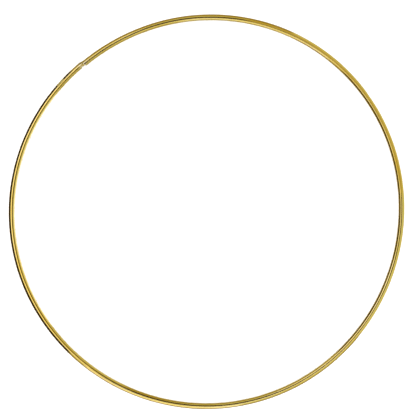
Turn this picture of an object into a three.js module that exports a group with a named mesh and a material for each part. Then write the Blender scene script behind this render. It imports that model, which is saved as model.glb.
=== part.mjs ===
// Wreath hoop: one length of round wire, bent into a ring and butt welded where its two cropped ends
// meet. It lies flat: Z = 0 is the surface under it, Z runs along the ring's axis, the origin is the
// middle of the ring's footprint and +Y runs from there towards the weld. Units are millimetres.

import * as THREE from "three";

// Driving dimensions.
const OUTER_DIAMETER = 300; // across the ring, averaged round it
const WIRE_DIAMETER = 4.5;
const END_GAP = 0.9; // between the wire's two cropped ends
const WELD_CLEARANCE = 0.1; // between the weld and each cropped end

// How far the bent ring is from a true circle, as changes of its radius. Angles are in degrees, counted
// anticlockwise from the weld, seen from above.
const OVAL = 0.93; // flattened along the weld's diameter and long across it
const OVAL_TURN = -2.5; // direction of the short axis
const THREE_LOBE = 0.45; // the faint three-cornered shape that bending rolls leave
const THREE_LOBE_TURN = 40.5; // direction of the first bulge
const END_STEP = 0.64; // the last stretch of wire runs in, so its end misses the first end by this much
const END_STEP_ARC = 35; // stretch over which it runs in

// The weld is a short crowned plug, set outwards so that the inner side of the joint stays notched.
const WELD_RIM_RADIUS = 1.9;
const WELD_CROWN_RADIUS = 2.05;
const WELD_OUTWARD_SHIFT = 0.15;

// Fineness of the solids.
const SECTION_SIDES = 16;
const STEPS_ROUND = 132;
const WELD_SIDES = 24;
const CROWN_STEPS = 4;

const DEGREE = Math.PI / 180;
const FULL_TURN = 360;
const MEAN_RADIUS = (OUTER_DIAMETER - WIRE_DIAMETER) / 2;
const WIRE_RADIUS = WIRE_DIAMETER / 2;

// Radius of the wire's centre line at a number of degrees round from the weld.
function centreLineRadius(degrees) {
  const oval = -OVAL * Math.cos(2 * (degrees - OVAL_TURN) * DEGREE);
  const lobes = THREE_LOBE * Math.cos(3 * (degrees - THREE_LOBE_TURN) * DEGREE);
  const stepIn = THREE.MathUtils.smoothstep(degrees, FULL_TURN - END_STEP_ARC, FULL_TURN);
  return MEAN_RADIUS + oval + lobes - END_STEP * stepIn;
}

// The wire's centre line, open at the weld, as a curve that an extrusion can follow.
class HoopLine extends THREE.Curve {
  getPoint(t, target = new THREE.Vector3()) {
    const halfGap = END_GAP / 2 / MEAN_RADIUS / DEGREE;
    const degrees = THREE.MathUtils.lerp(halfGap, FULL_TURN - halfGap, t);
    const radius = centreLineRadius(degrees);
    const angle = degrees * DEGREE;
    return target.set(-radius * Math.sin(angle), radius * Math.cos(angle), WIRE_RADIUS);
  }
}

// The wire's round section, with one flat underneath, so that the ring has faces to rest on.
function wireSection() {
  const cornerRadius = WIRE_RADIUS / Math.cos(Math.PI / SECTION_SIDES);
  const corners = [];
  for (let side = 0; side < SECTION_SIDES; side += 1) {
    const angle = ((side + 0.5) * 2 * Math.PI) / SECTION_SIDES;
    corners.push(new THREE.Vector2(cornerRadius * Math.cos(angle), cornerRadius * Math.sin(angle)));
  }
  return new THREE.Shape(corners);
}

function makeHoopWire() {
  const geometry = new THREE.ExtrudeGeometry(wireSection(), {
    extrudePath: new HoopLine(),
    steps: STEPS_ROUND,
    bevelEnabled: false,
  });
  const material = new THREE.MeshStandardMaterial({ color: "#c8a255", roughness: 0.16, metalness: 1 });
  const mesh = new THREE.Mesh(geometry, material);
  mesh.name = "hoop_wire";
  return mesh;
}

// Half of the weld's section, from axis to axis, with its rim bowed out to the crown.
function weldProfile() {
  const halfLength = END_GAP / 2 - WELD_CLEARANCE;
  const profile = [new THREE.Vector2(0, -halfLength)];
  for (let step = 0; step <= CROWN_STEPS; step += 1) {
    const along = (2 * step) / CROWN_STEPS - 1;
    const bow = (WELD_CROWN_RADIUS - WELD_RIM_RADIUS) * (1 - along * along);
    profile.push(new THREE.Vector2(WELD_RIM_RADIUS + bow, along * halfLength));
  }
  profile.push(new THREE.Vector2(0, halfLength));
  return profile;
}

function makeButtWeld() {
  const geometry = new THREE.LatheGeometry(weldProfile(), WELD_SIDES);
  geometry.rotateZ(Math.PI / 2);
  const material = new THREE.MeshStandardMaterial({ color: "#bba75c", roughness: 0.35, metalness: 1 });
  const mesh = new THREE.Mesh(geometry, material);
  mesh.name = "butt_weld";
  const betweenEnds = (centreLineRadius(0) + centreLineRadius(FULL_TURN)) / 2;
  mesh.position.set(0, betweenEnds + WELD_OUTWARD_SHIFT, WIRE_RADIUS);
  return mesh;
}

const wreathHoop = new THREE.Group();
wreathHoop.add(makeHoopWire());
wreathHoop.add(makeButtWeld());

// The origin is the middle of the footprint, which an out-of-round ring has a little off its own centre.
const footprint = new THREE.Box3().setFromObject(wreathHoop).getCenter(new THREE.Vector3());
for (const piece of wreathHoop.children) {
  piece.position.x -= footprint.x;
  piece.position.y -= footprint.y;
}

export default wreathHoop;
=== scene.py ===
"""Wreath hoop: a ring of polished gold wire, butt welded, lying on a white studio floor."""
import math

import bpy
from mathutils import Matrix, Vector, noise


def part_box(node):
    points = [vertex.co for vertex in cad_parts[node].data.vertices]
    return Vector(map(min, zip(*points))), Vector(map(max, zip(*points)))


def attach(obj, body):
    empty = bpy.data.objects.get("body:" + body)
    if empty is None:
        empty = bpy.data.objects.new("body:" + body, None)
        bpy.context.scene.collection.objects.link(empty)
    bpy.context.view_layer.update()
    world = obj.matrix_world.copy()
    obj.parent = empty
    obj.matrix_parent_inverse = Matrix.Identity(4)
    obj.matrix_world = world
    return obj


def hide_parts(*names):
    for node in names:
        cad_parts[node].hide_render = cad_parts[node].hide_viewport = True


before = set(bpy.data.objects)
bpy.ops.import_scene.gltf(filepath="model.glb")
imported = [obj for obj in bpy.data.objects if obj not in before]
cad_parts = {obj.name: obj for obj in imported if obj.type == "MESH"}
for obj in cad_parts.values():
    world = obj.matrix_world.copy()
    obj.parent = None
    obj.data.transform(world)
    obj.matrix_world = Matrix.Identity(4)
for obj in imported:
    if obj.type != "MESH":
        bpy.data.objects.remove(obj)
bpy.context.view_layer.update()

MM = 0.001

# Sizes that come from the frame. The wire rests on Z = 0 and the weld is on +Y.
wire_low, wire_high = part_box("hoop_wire")
weld_low, weld_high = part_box("butt_weld")
WIRE_RADIUS = (wire_high.z - wire_low.z) / 2
OUTER_DIAMETER = (wire_high.x - wire_low.x + wire_high.y - wire_low.y) / 2
MEAN_RADIUS = OUTER_DIAMETER / 2 - WIRE_RADIUS
WELD_CLEARANCE = 0.1 * MM  # between the frame's plain weld and each wire end
END_GAP = weld_high.x - weld_low.x + 2 * WELD_CLEARANCE

# How far the ring is from a true circle, as changes of its radius. Angles are anticlockwise from the
# weld, in degrees, seen from above.
FULL_TURN = 360
OVAL = 0.93 * MM
OVAL_TURN = -2.5
THREE_LOBE = 0.45 * MM
THREE_LOBE_TURN = 40.5
END_STEP = 0.64 * MM
END_STEP_ARC = 35

# Small irregularities of the real wire.
HAND_WAVE = 0.05 * MM  # slow sideways waver of the bent wire
HAND_WAVE_LENGTH = 45 * MM
HAND_WAVE_PLACE = (0.3, 7.1)  # where in the noise the waver is taken from
SECTION_WAVER = 0.012  # how far the section is from round, as a share of its radius
SECTION_WAVER_LENGTH = 28 * MM
SECTION_WAVER_ROUND = 1.3  # how quickly that changes round the section

# The wire's two ends.
RIM_ROUND = 0.3 * MM  # rounding of the cropped edge
NOTCH_DEPTH = 1.15 * MM  # how far each end's inner side stays back from the joint
NOTCH_FADE = 4 * MM  # stretch of wire over which that slant dies out
NOTCH_START = 0.3  # where the slant begins, as a share of the way from the outer side to the inner
UPSET = 0.07 * MM  # thickening of the upper side, where the hot ends were pressed together
UPSET_LENGTH = 1.6 * MM

# Flats that the welding clamp's two jaws left, a little way along from the first end.
CLAMP_MIDDLE = 21 * MM
CLAMP_LENGTH = 7.7 * MM
CLAMP_FADE = 0.8 * MM
CLAMP_FLAT_WIDTH = 1.9 * MM
CLAMP_JAW_ANGLE = math.radians(55)  # above the outward side
CLAMP_JAWS = (CLAMP_JAW_ANGLE, CLAMP_JAW_ANGLE + math.pi)
CLAMP_FLAT_HALF_ANGLE = math.asin(CLAMP_FLAT_WIDTH / 2 / WIRE_RADIUS)
CLAMP_FLAT_DEPTH = WIRE_RADIUS - math.sqrt(WIRE_RADIUS**2 - (CLAMP_FLAT_WIDTH / 2) ** 2)
CLAMP_REACH = 0.5  # a flat is only looked for where the surface faces its jaw at least this squarely
SCUFF_SOLID, SCUFF_EDGE = 0.75, 1.15  # where scuffing starts to fade and ends, in half angles

# Fineness of the hoop's mesh.
SECTION_SIDES = 44
PLAIN_STEP = 0.8 * MM
END_STEPS_LENGTH = 9 * MM
END_PLAIN_STEP = 0.2 * MM
RIM_STEPS = 7
CAP_RINGS = 4


def smooth(low, high, value):
    """0 below low, 1 above high and a smooth rise between them."""
    t = min(max((value - low) / (high - low), 0), 1)
    return t * t * (3 - 2 * t)


# ---------------------------------------------------------------- the ring's outline


def centre_line_radius(degrees):
    """Radius of the wire's centre line at an angle anticlockwise from the weld."""
    oval = -OVAL * math.cos(2 * math.radians(degrees - OVAL_TURN))
    lobes = THREE_LOBE * math.cos(3 * math.radians(degrees - THREE_LOBE_TURN))
    step_in = smooth(FULL_TURN - END_STEP_ARC, FULL_TURN, degrees)
    return MEAN_RADIUS + oval + lobes - END_STEP * step_in


def plain_outline(degrees):
    """A point of the centre line, measured from the ring's own centre."""
    radius, angle = centre_line_radius(degrees), math.radians(degrees)
    return Vector((-radius * math.sin(angle), radius * math.cos(angle), WIRE_RADIUS))


def ring_centre():
    """The ring's own centre in the row frame, whose origin is the middle of the footprint."""
    outline = [plain_outline(degrees) for degrees in range(FULL_TURN)]
    middle = Vector((0, 0, 0))
    for axis in range(2):
        values = [point[axis] for point in outline]
        middle[axis] = (min(values) + max(values)) / 2
    box_middle = (wire_low + wire_high) / 2
    return Vector((box_middle.x - middle.x, box_middle.y - middle.y, 0))


RING_CENTRE = ring_centre()
WIRE_LENGTH = 2 * math.pi * MEAN_RADIUS - END_GAP


def degrees_at(along):
    """Angle from the weld of the place that is a distance along the wire from its first end."""
    return math.degrees((along + END_GAP / 2) / MEAN_RADIUS)


def centre_line(along):
    """(point, outward direction, direction of travel) of the wire's centre line."""
    degrees = degrees_at(along)
    nudge = 0.05  # degrees
    point = plain_outline(degrees) + RING_CENTRE
    travel = (plain_outline(degrees + nudge) - plain_outline(degrees - nudge)).normalized()
    outward = travel.cross(Vector((0, 0, 1)))
    waver = HAND_WAVE * noise.noise(Vector((along / HAND_WAVE_LENGTH, *HAND_WAVE_PLACE)))
    from_end = min(along, WIRE_LENGTH - along)
    return point + outward * waver * smooth(0, HAND_WAVE_LENGTH, from_end), outward, travel


# ---------------------------------------------------------------- the wire's surface


def clamp_mark(along):
    """How fully the clamp's flats are pressed in at a distance along the wire, from 0 to 1."""
    from_middle = abs(along - CLAMP_MIDDLE)
    half = CLAMP_LENGTH / 2
    return 1 - smooth(half - CLAMP_FADE, half, from_middle)


def on_clamp_flat(along, turn):
    """How much of a point lies on a clamp flat, from 0 to 1."""
    share = 0
    for jaw in CLAMP_JAWS:
        off_jaw = math.acos(max(-1, min(1, math.cos(turn - jaw))))
        half_angles = off_jaw / CLAMP_FLAT_HALF_ANGLE
        share = max(share, 1 - smooth(SCUFF_SOLID, SCUFF_EDGE, half_angles))
    return share * clamp_mark(along)


def section_radius(along, turn):
    """Radius of the wire's section at a turn about the centre line.

    A turn of 0 is outward, and a quarter turn is up.
    """
    across, up = math.cos(turn) * SECTION_WAVER_ROUND, math.sin(turn) * SECTION_WAVER_ROUND
    spot = Vector((across, up, along / SECTION_WAVER_LENGTH))
    radius = WIRE_RADIUS * (1 + SECTION_WAVER * noise.noise(spot))
    from_end = min(along, WIRE_LENGTH - along)
    upset = UPSET * math.exp(-((from_end / UPSET_LENGTH) ** 2))
    radius += upset * (1 + math.sin(turn)) / 2
    for jaw in CLAMP_JAWS:
        facing = math.cos(turn - jaw)
        if facing > CLAMP_REACH:
            radius = min(radius, (WIRE_RADIUS - CLAMP_FLAT_DEPTH * clamp_mark(along)) / facing)
    if from_end < RIM_ROUND:
        radius -= RIM_ROUND - math.sqrt(RIM_ROUND**2 - (RIM_ROUND - from_end) ** 2)
    return radius


def notch_setback(from_end, turn):
    """How far a point near an end is held back from the joint, whose inner side stays open."""
    inner_side = (1 - math.cos(turn)) / 2
    return NOTCH_DEPTH * smooth(NOTCH_START, 1, inner_side) * (1 - smooth(0, NOTCH_FADE, from_end))


def surface_point(along, turn, share=1.0):
    """A point of the wire, at a share of the way from the centre line to the surface."""
    point, outward, travel = centre_line(along)
    from_end = min(along, WIRE_LENGTH - along)
    away_from_joint = travel if along < WIRE_LENGTH / 2 else -travel
    radius = section_radius(along, turn) * share
    side = outward * math.cos(turn) + Vector((0, 0, 1)) * math.sin(turn)
    return point + side * radius + away_from_joint * notch_setback(from_end, turn)


def station_distances():
    """Distances along the wire that get a ring of vertices, closer together towards the two ends."""
    near_end = []
    for step in range(RIM_STEPS):
        near_end.append(RIM_ROUND * (1 - math.cos(math.pi / 2 * step / RIM_STEPS)))
    distance = RIM_ROUND
    while distance < END_STEPS_LENGTH:
        near_end.append(distance)
        distance += END_PLAIN_STEP
    middle_steps = round((WIRE_LENGTH - 2 * END_STEPS_LENGTH) / PLAIN_STEP)
    middle = []
    for step in range(middle_steps + 1):
        share = step / middle_steps
        middle.append(END_STEPS_LENGTH + share * (WIRE_LENGTH - 2 * END_STEPS_LENGTH))
    return near_end + middle + [WIRE_LENGTH - distance for distance in reversed(near_end)]


def skin(rings, first, last):
    """Faces between rings of vertices, and fans that close the ends round a first and a last vertex."""
    sides = len(rings[0])
    faces = []
    for ring, next_ring in zip(rings, rings[1:]):
        for side in range(sides):
            other = (side + 1) % sides
            faces.append((ring[side], next_ring[side], next_ring[other], ring[other]))
    for side in range(sides):
        other = (side + 1) % sides
        faces.append((first, rings[0][side], rings[0][other]))
        faces.append((last, rings[-1][other], rings[-1][side]))
    return faces


def new_object(name, data):
    """A new object in the scene."""
    thing = bpy.data.objects.new(name, data)
    bpy.context.scene.collection.objects.link(thing)
    return thing


def new_piece(name, vertices, faces, material):
    """A smooth-shaded mesh object that rides on the part's one body."""
    mesh = bpy.data.meshes.new(name)
    mesh.from_pydata(vertices, [], faces)
    mesh.validate()
    for polygon in mesh.polygons:
        polygon.use_smooth = True
    mesh.materials.append(material)
    piece = new_object(name, mesh)
    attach(piece, "root")
    return piece


def store(piece, name, kind, values):
    """Stores one value for each vertex, for a material to read."""
    field = {"FLOAT": "value", "FLOAT_VECTOR": "vector"}[kind]
    attribute = piece.data.attributes.new(name, kind, "POINT")
    flat = values if kind == "FLOAT" else [number for value in values for number in value]
    attribute.data.foreach_set(field, flat)


def make_hoop(material):
    """The whole wire as one fine mesh, with slanted, rounded ends and the clamp's flats."""
    distances = station_distances()
    turns = [2 * math.pi * side / SECTION_SIDES for side in range(SECTION_SIDES)]
    vertices, spaces, weld_distances, scuffs = [], [], [], []

    def add_vertex(along, turn, share=1.0):
        vertices.append(surface_point(along, turn, share))
        spaces.append((along / WIRE_RADIUS, share * math.cos(turn), share * math.sin(turn)))
        weld_distances.append(min(along, WIRE_LENGTH - along) / MM)
        scuffs.append(on_clamp_flat(along, turn))
        return len(vertices) - 1

    rings = []
    for cap_ring in range(1, CAP_RINGS):
        share = cap_ring / CAP_RINGS
        rings.append([add_vertex(0, turn, share) for turn in turns])
    for along in distances:
        rings.append([add_vertex(along, turn) for turn in turns])
    for cap_ring in range(CAP_RINGS - 1, 0, -1):
        share = cap_ring / CAP_RINGS
        rings.append([add_vertex(WIRE_LENGTH, turn, share) for turn in turns])

    halfway = math.pi / 2  # between the outer side and the inner side
    first = add_vertex(0, halfway, 0)
    last = add_vertex(WIRE_LENGTH, halfway, 0)

    hoop = new_piece("hoop_wire_polished", vertices, skin(rings, first, last), material)
    store(hoop, "wire_space", "FLOAT_VECTOR", spaces)
    store(hoop, "from_weld", "FLOAT", weld_distances)
    store(hoop, "scuff", "FLOAT", scuffs)
    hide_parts("hoop_wire")


# ---------------------------------------------------------------- the weld

BEAD_RINGS = 40
BEAD_SIDES = 64
BEAD_OVERREACH = 0.75 * MM  # how far the bead runs into each end
BEAD_LUMPS = 0.05 * MM  # height of its lumps
BEAD_LUMP_SIZE = 1.1 * MM
BEAD_PROUD = 0.14 * MM  # how far the bead stands out on its outer side
BEAD_INNER_SAG = 0.75 * MM  # how far it stays short of the wire's inner side
BEAD_SAG_POWER = 1.5  # how much that keeps to the inner side
BEAD_TAPER = 0.03  # how much narrower it is towards its ends
BEAD_SQUARENESS = 6  # how late its profile closes: 2 would be an oval
BEAD_FINE_LUMPS = 0.4  # smaller lumps, as a share of the main ones
BEAD_FINE_RATIO = 2.7  # how many times smaller they are
BEAD_LUMPS_PLACE = Vector((3.1, 0, 1.7))  # where in the noise the lumps are taken from


def bead_point(lengthwise, turn):
    """A point of the bead: lengthwise runs from -1 to 1 between the two wire ends."""
    middle = (weld_low + weld_high) / 2
    outer_side = (1 + math.cos(turn)) / 2
    full = WIRE_RADIUS + BEAD_PROUD - BEAD_INNER_SAG * (1 - outer_side) ** BEAD_SAG_POWER
    full -= BEAD_PROUD * max(0, -math.sin(turn))  # flush underneath, where the hoop rests
    taper = 1 - BEAD_TAPER * (1 - math.cos(math.pi * lengthwise)) / 2
    openness = max(0, 1 - abs(lengthwise) ** BEAD_SQUARENESS)
    radius = full * taper * math.sqrt(openness)
    half_length = END_GAP / 2 + BEAD_OVERREACH
    spot = Vector((lengthwise * half_length, radius * math.cos(turn), radius * math.sin(turn)))
    lump = noise.noise(spot / BEAD_LUMP_SIZE + BEAD_LUMPS_PLACE)
    lump += BEAD_FINE_LUMPS * noise.noise(spot / BEAD_LUMP_SIZE * BEAD_FINE_RATIO)
    radius = max(0, radius + BEAD_LUMPS * lump * openness)
    joint = (centre_line(0)[0] + centre_line(WIRE_LENGTH)[0]) / 2
    along_x = middle.x - lengthwise * half_length
    return Vector((along_x, joint.y + radius * math.cos(turn), WIRE_RADIUS + radius * math.sin(turn)))


def make_weld(material):
    """The lump of weld between the ends, fuller on the ring's outer side than on its inner side."""
    vertices, rings = [], []
    for ring in range(1, BEAD_RINGS):
        lengthwise = -math.cos(math.pi * ring / BEAD_RINGS)
        rings.append(list(range(len(vertices), len(vertices) + BEAD_SIDES)))
        for side in range(BEAD_SIDES):
            vertices.append(bead_point(lengthwise, 2 * math.pi * side / BEAD_SIDES))
    first, last = len(vertices), len(vertices) + 1
    vertices += [bead_point(-1, 0), bead_point(1, 0)]
    bead = new_piece("weld_bead", vertices, skin(rings, first, last), material)
    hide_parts("butt_weld")


# ---------------------------------------------------------------- materials

# The Mix node's colour sockets, by number because its other sockets have the same names.
MIX_COLOUR_INPUTS = (6, 7)
MIX_COLOUR_OUTPUT = 2


def add(tree, kind, inputs=None, **settings):
    """Adds a node. An input that is a socket is linked, and any other input is set to the value."""
    node = tree.nodes.new(kind)
    for name, value in settings.items():
        setattr(node, name, value)
    for name, value in (inputs or {}).items():
        socket = node.inputs[name]
        if isinstance(value, bpy.types.NodeSocket):
            tree.links.new(value, socket)
        else:
            socket.default_value = value
    return node


def maths(tree, operation, *values):
    """The result of a Math node."""
    return add(tree, "ShaderNodeMath", dict(enumerate(values)), operation=operation).outputs[0]


def rescale(tree, value, from_low, from_high, to_low, to_high):
    """A value moved from one range to another, held within it."""
    inputs = {"Value": value, "From Min": from_low, "From Max": from_high}
    inputs.update({"To Min": to_low, "To Max": to_high})
    return add(tree, "ShaderNodeMapRange", inputs).outputs["Result"]


def blend_colours(tree, factor, first, second):
    """A mix of two colours."""
    node = add(tree, "ShaderNodeMix", {"Factor": factor}, data_type="RGBA")
    for number, value in zip(MIX_COLOUR_INPUTS, (first, second)):
        socket = node.inputs[number]
        if isinstance(value, bpy.types.NodeSocket):
            tree.links.new(value, socket)
        else:
            socket.default_value = (*value, 1)
    return node.outputs[MIX_COLOUR_OUTPUT]


def stretched_noise(tree, space, stretch, scale, detail=3.0, roughness=0.5):
    """Noise in a space that is first scaled by a different amount along each axis."""
    scaled = add(tree, "ShaderNodeVectorMath", {0: space, 1: stretch}, operation="MULTIPLY")
    inputs = {"Vector": scaled.outputs[0], "Scale": scale, "Detail": detail, "Roughness": roughness}
    return add(tree, "ShaderNodeTexNoise", inputs).outputs["Fac"]


def new_material(name):
    """(material, its node tree, its Principled shader), metallic from the start."""
    material = bpy.data.materials.new(name)
    material.use_nodes = True
    tree = material.node_tree
    shader = tree.nodes["Principled BSDF"]
    shader.inputs["Metallic"].default_value = 1.0
    return material, tree, shader


# Colours of the metal, as linear red, green and blue.
GOLD = (0.90, 0.72, 0.17)
GOLD_DEEP = (0.85, 0.64, 0.11)
GOLD_PALE = (0.95, 0.81, 0.29)
SCUFFED = (0.82, 0.70, 0.25)
TARNISH = (0.70, 0.50, 0.11)
HEAT_TINT = (0.84, 0.76, 0.36)
WELD_PALE = (0.93, 0.80, 0.25)
WELD_BROWN = (0.66, 0.49, 0.14)

# Roughness of the plating where it is best kept and where it has been handled. The dullness of each
# pattern is added to it.
POLISHED, HANDLED = 0.06, 0.11
DIE_LINE_DULLNESS = 0.04
RUB_DULLNESS = 0.10
SCUFF_DULLNESS = 0.5
HEAT_DULLNESS = 0.1
SCUFF_METALLIC = 0.78  # scratched plating scatters light as well as mirroring it

# Relief of the plating, and each pattern's weight in it.
PLATING_RELIEF = 0.005 * MM
DIE_LINE_RELIEF = 2.0
FINE_LINE_RELIEF = 0.25
GRAIN_RELIEF = 0.05
SCRATCH_RELIEF = 4.5

# The weld's heat: how strong its tint is, and how far along the wire it shows, in millimetres.
HEAT_TINT_STRENGTH = 0.75
HEAT_TINT_FULL, HEAT_TINT_END = 0.5, 6.0
HEAT_DULLNESS_END = 4

# Relief and roughness of the weld.
WELD_RELIEF = 0.012 * MM
WELD_RELIEF_STRENGTH = 0.8
WELD_PIT_RELIEF = 0.4
WELD_ROUGH, WELD_SMOOTH = 0.34, 0.18


def gold_plating():
    """Polished plating over drawn wire, with a matte scratched finish on the clamp's flats.

    Each pattern is noise in the wire's own space, in wire radii: along the wire, outward and up. The
    three numbers scale that space along each of those, so a small first one draws the pattern out
    lengthwise, and the next number is how fine it is.
    """
    material, tree, shader = new_material("gold_plating")
    space = add(tree, "ShaderNodeAttribute", attribute_name="wire_space").outputs["Vector"]
    from_weld = add(tree, "ShaderNodeAttribute", attribute_name="from_weld").outputs["Fac"]
    scuff = add(tree, "ShaderNodeAttribute", attribute_name="scuff").outputs["Fac"]

    slow_tone = stretched_noise(tree, space, (0.05, 0.6, 0.6), 1.0, detail=2)
    die_lines = stretched_noise(tree, space, (0.012, 1, 1), 8.0, detail=2, roughness=0.5)
    fine_lines = stretched_noise(tree, space, (0.05, 1, 1), 34.0, detail=3, roughness=0.6)
    grain = stretched_noise(tree, space, (1, 1, 1), 42.0, detail=4, roughness=0.7)
    smudges = stretched_noise(tree, space, (0.25, 0.8, 0.8), 1.6, detail=4, roughness=0.6)
    rubs = stretched_noise(tree, space, (0.15, 1, 1), 5.0, detail=5, roughness=0.7)
    streaks = stretched_noise(tree, space, (0.03, 1, 1), 6.0, detail=5, roughness=0.75)
    scratches = stretched_noise(tree, space, (3, 1, 0.6), 7.0, detail=5, roughness=0.75)

    tone = blend_colours(tree, rescale(tree, slow_tone, 0.32, 0.68, 0, 1), GOLD_DEEP, GOLD)
    tone = blend_colours(tree, rescale(tree, die_lines, 0.5, 0.72, 0, 0.55), tone, GOLD_PALE)
    tone = blend_colours(tree, rescale(tree, streaks, 0.56, 0.74, 0, 0.5), tone, TARNISH)
    heat = rescale(tree, from_weld, HEAT_TINT_FULL, HEAT_TINT_END, HEAT_TINT_STRENGTH, 0)
    tone = blend_colours(tree, heat, tone, HEAT_TINT)
    scuff_patches = maths(tree, "MULTIPLY", scuff, rescale(tree, scratches, 0.38, 0.58, 0.35, 1))
    tone = blend_colours(tree, scuff_patches, tone, SCUFFED)
    tree.links.new(tone, shader.inputs["Base Color"])

    dullness = rescale(tree, smudges, 0.35, 0.75, POLISHED, HANDLED)
    dullness = maths(tree, "ADD", dullness, rescale(tree, die_lines, 0.4, 0.75, 0, DIE_LINE_DULLNESS))
    dullness = maths(tree, "ADD", dullness, rescale(tree, rubs, 0.54, 0.68, 0, RUB_DULLNESS))
    dullness = maths(tree, "ADD", dullness, maths(tree, "MULTIPLY", scuff_patches, SCUFF_DULLNESS))
    heated = rescale(tree, from_weld, 0, HEAT_DULLNESS_END, HEAT_DULLNESS, 0)
    dullness = maths(tree, "ADD", dullness, heated)
    tree.links.new(dullness, shader.inputs["Roughness"])
    metallic = rescale(tree, scuff_patches, 0, 1, 1, SCUFF_METALLIC)
    tree.links.new(metallic, shader.inputs["Metallic"])

    height = maths(tree, "MULTIPLY", die_lines, DIE_LINE_RELIEF)
    height = maths(tree, "MULTIPLY_ADD", fine_lines, FINE_LINE_RELIEF, height)
    height = maths(tree, "MULTIPLY_ADD", grain, GRAIN_RELIEF, height)
    scratched = maths(tree, "MULTIPLY", scuff, scratches)
    height = maths(tree, "MULTIPLY_ADD", scratched, SCRATCH_RELIEF, height)
    relief = {"Strength": 1.0, "Distance": PLATING_RELIEF, "Height": height}
    bump = add(tree, "ShaderNodeBump", relief)
    tree.links.new(bump.outputs["Normal"], shader.inputs["Normal"])
    return material


def weld_metal():
    """The plated bead: satin and slightly rough, with pale smooth patches and browner rough ones.

    The numbers of its patterns work as in gold_plating, but in metres and the same in every direction.
    """
    material, tree, shader = new_material("weld_metal")
    place = add(tree, "ShaderNodeTexCoord").outputs["Object"]
    lumps = stretched_noise(tree, place, (1, 1, 1), 900.0, detail=5, roughness=0.65)
    pits = stretched_noise(tree, place, (1, 1, 1), 3200.0, detail=3)
    tone = blend_colours(tree, rescale(tree, lumps, 0.35, 0.65, 0, 1), WELD_BROWN, WELD_PALE)
    tree.links.new(tone, shader.inputs["Base Color"])
    dullness = rescale(tree, lumps, 0.3, 0.7, WELD_ROUGH, WELD_SMOOTH)
    tree.links.new(dullness, shader.inputs["Roughness"])
    height = maths(tree, "MULTIPLY_ADD", pits, WELD_PIT_RELIEF, lumps)
    relief = {"Strength": WELD_RELIEF_STRENGTH, "Distance": WELD_RELIEF, "Height": height}
    bump = add(tree, "ShaderNodeBump", relief)
    tree.links.new(bump.outputs["Normal"], shader.inputs["Normal"])
    return material


# ---------------------------------------------------------------- the studio

# The picture's top, seen from the camera: the weld shows this far anticlockwise from it.
WELD_LEFT_OF_TOP = math.radians(40.3)
PICTURE_UP = Vector((math.sin(WELD_LEFT_OF_TOP), math.cos(WELD_LEFT_OF_TOP), 0))
PICTURE_RIGHT = Vector((math.cos(WELD_LEFT_OF_TOP), -math.sin(WELD_LEFT_OF_TOP), 0))

LENS = 100
SENSOR = 36
CLIP_NEAR, CLIP_FAR = 0.01, 20
PICTURE_WIDTH_IN_RINGS = 1.0574  # the ring nearly fills the picture
PICTURE_WIDTH = PICTURE_WIDTH_IN_RINGS * OUTER_DIAMETER
CAMERA_RIGHT = 1.4 * MM  # from the ring's centre
CAMERA_UP = 1.87 * MM

CARD_STEPS = 24

# Colours of the cards.
NEUTRAL = (1.0, 0.99, 1.0)
COOL = (1.0, 1.02, 2.0)
WARM = (1.0, 0.80, 0.38)
BROWN = (1.0, 0.5, 0.06)

# How bright a card is, where 1 is white.
BLACK = 0.03
SHADE = 0.35
SATIN = 0.55
WHITE = 1.0
LAMP = 1.35

# The tent's size: its wall's distance from the ring's axis, and heights above the floor.
WALL = 0.40
CEILING = 0.70
UNDER = -1.2


def make_camera():
    """Above the ring and a shade off its centre, turned so that the weld shows at the upper left."""
    data = bpy.data.cameras.new("camera")
    data.lens = LENS
    data.sensor_width = SENSOR
    data.clip_start = CLIP_NEAR
    data.clip_end = CLIP_FAR
    camera = new_object("camera", data)
    height = PICTURE_WIDTH * LENS / SENSOR + WIRE_RADIUS
    camera.location = RING_CENTRE + PICTURE_RIGHT * CAMERA_RIGHT + PICTURE_UP * CAMERA_UP
    camera.location.z = height
    camera.rotation_euler = (0, 0, -WELD_LEFT_OF_TOP)
    bpy.context.scene.camera = camera


def picture_direction(degrees):
    """The level direction at an angle clockwise from the picture's top."""
    angle = math.radians(degrees)
    return PICTURE_UP * math.cos(angle) + PICTURE_RIGHT * math.sin(angle)


def glow(name, colour, strength):
    """A material that only shines."""
    material = bpy.data.materials.new(name)
    material.use_nodes = True
    tree = material.node_tree
    tree.nodes.clear()
    output = tree.nodes.new("ShaderNodeOutputMaterial")
    shader = add(tree, "ShaderNodeEmission", {"Color": (*colour, 1), "Strength": strength})
    tree.links.new(shader.outputs[0], output.inputs["Surface"])
    return material


def make_card(name, sweep, near, far, colour, strength):
    """A card bent round the ring's axis, seen only in reflections.

    sweep is where it starts and ends, in degrees clockwise from the picture's top. near and far are its
    two edges, each as (distance from the axis, height above the floor).
    """
    first, last = sweep
    vertices, faces = [], []
    for step in range(CARD_STEPS + 1):
        direction = picture_direction(first + (last - first) * step / CARD_STEPS)
        for distance, height in (near, far):
            vertices.append(RING_CENTRE + direction * distance + Vector((0, 0, height)))
    for step in range(CARD_STEPS):
        corner = 2 * step
        faces.append((corner, corner + 1, corner + 3, corner + 2))
    mesh = bpy.data.meshes.new(name)
    mesh.from_pydata(vertices, [], faces)
    mesh.materials.append(glow(name, colour, strength))
    card = new_object(name, mesh)
    card.visible_camera = False
    card.visible_diffuse = False
    card.visible_shadow = False


def overhead_card(name, sweep, height, inner, outer, colour, strength):
    """A level card above the ring, between two distances from its axis."""
    make_card(name, sweep, (inner, height), (outer, height), colour, strength)


def wall_card(name, sweep, low, high, colour, strength):
    """A stretch of the tent's wall, between two heights."""
    make_card(name, sweep, (WALL, low), (WALL, high), colour, strength)


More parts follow.
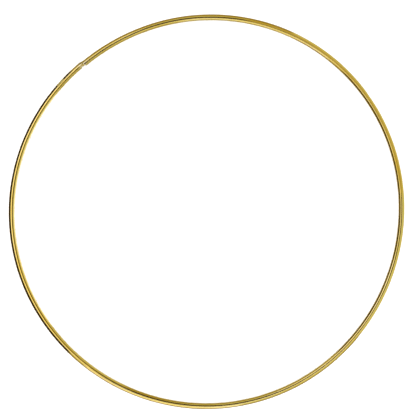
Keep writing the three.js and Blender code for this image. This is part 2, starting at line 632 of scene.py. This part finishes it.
def make_ceiling():
    """A lamp over the bottom and left, warm cloth inside it, and a dark hole with a grey flap at its top.

    The camera looks in through the hole.
    """
    lamp_inside = 0.24
    hole_height, hole_radius = 0.60, 0.25
    overhead_card("lamp", (125, 340), CEILING, lamp_inside, WALL, COOL, LAMP)
    overhead_card("warm_cloth", (215, 318), CEILING, 0, lamp_inside, WARM, LAMP)
    overhead_card("hole", (318, 575), hole_height, 0, hole_radius, BROWN, BLACK)
    overhead_card("flap", (340, 400), hole_height, hole_radius, WALL, WARM, SHADE)


def make_camera_and_hands():
    """They hang low over the ring's right side, with a satin screen below them at its upper right."""
    hands_height, hands_inner, hands_outer = 0.30, 0.02, 0.18
    screen_height, screen_inner = 0.25, 0.08
    overhead_card("camera_and_hands", (5, 150), hands_height, hands_inner, hands_outer, BROWN, BLACK)
    overhead_card("screen", (12, 85), screen_height, screen_inner, WALL, WARM, SATIN)


def make_walls():
    """Dark at the left, grey at the top, and bright high up, at the bottom and at the right.

    Heights below 0 are under the floor, which the metal doesn't mirror.
    """
    upper_foot = 0.42
    opening_top, opening_edge_top, opening_foot = 0.38, 0.10, -0.16
    screen_top, screen_foot = 0.25, -0.3
    bottom_card_foot = 0.05
    right_glow_top = -0.1
    wall_card("opening", (224, 316), opening_foot, opening_top, BROWN, BLACK)
    wall_card("opening_floor", (205, 316), UNDER, opening_foot, WARM, SHADE)
    wall_card("opening_edge", (205, 224), opening_foot, opening_edge_top, WARM, SHADE)
    wall_card("window", (285, 338), upper_foot, CEILING, COOL, LAMP)
    wall_card("upper_wall", (100, 225), upper_foot, CEILING, NEUTRAL, WHITE)
    wall_card("bottom_card", (170, 218), bottom_card_foot, screen_top, COOL, LAMP)
    wall_card("bottom_skirt", (128, 205), screen_foot, bottom_card_foot, WARM, SHADE)
    wall_card("top_screen", (316, 385), screen_foot, screen_top, WARM, SHADE)
    wall_card("right_glow", (54, 131), UNDER, right_glow_top, COOL, LAMP)


FLOOR_SIZE = 6
FLOOR_WHITE = 0.92
FLOOR_ROUGHNESS = 0.9
FLOOR_GLOSS = 0.1

# Strength of the room's light, and of the room that the metal mirrors.
ROOM_LIGHT = 2.1
MIRRORED_ROOM = 0.64


def make_floor():
    """A white floor. The metal doesn't mirror it: it mirrors the room and the cards instead."""
    half = FLOOR_SIZE / 2
    mesh = bpy.data.meshes.new("floor")
    corners = [(-half, -half, 0), (half, -half, 0), (half, half, 0), (-half, half, 0)]
    mesh.from_pydata(corners, [], [(0, 1, 2, 3)])
    material = bpy.data.materials.new("floor_white")
    material.use_nodes = True
    shader = material.node_tree.nodes["Principled BSDF"]
    shader.inputs["Base Color"].default_value = (FLOOR_WHITE, FLOOR_WHITE, FLOOR_WHITE, 1)
    shader.inputs["Roughness"].default_value = FLOOR_ROUGHNESS
    shader.inputs["Specular IOR Level"].default_value = FLOOR_GLOSS
    mesh.materials.append(material)
    floor = new_object("floor", mesh)
    floor.visible_glossy = False


def make_room_light():
    """Even white light from all round, which the metal mirrors much dimmer than it is."""
    world = bpy.data.worlds.new("studio")
    bpy.context.scene.world = world
    world.use_nodes = True
    tree = world.node_tree
    tree.nodes.clear()
    rays = add(tree, "ShaderNodeLightPath")
    lit = add(tree, "ShaderNodeBackground", {"Color": (1, 1, 1, 1), "Strength": ROOM_LIGHT})
    mirrored = add(tree, "ShaderNodeBackground", {"Color": (*NEUTRAL, 1), "Strength": MIRRORED_ROOM})
    either = add(tree, "ShaderNodeMixShader", {0: rays.outputs["Is Glossy Ray"]})
    tree.links.new(lit.outputs[0], either.inputs[1])
    tree.links.new(mirrored.outputs[0], either.inputs[2])
    output = tree.nodes.new("ShaderNodeOutputWorld")
    tree.links.new(either.outputs[0], output.inputs["Surface"])


make_camera()
make_hoop(gold_plating())
make_weld(weld_metal())
make_floor()
make_ceiling()
make_camera_and_hands()
make_walls()
make_room_light()

bpy.context.scene.view_settings.view_transform = "Standard"
bpy.context.scene.view_settings.look = "None"
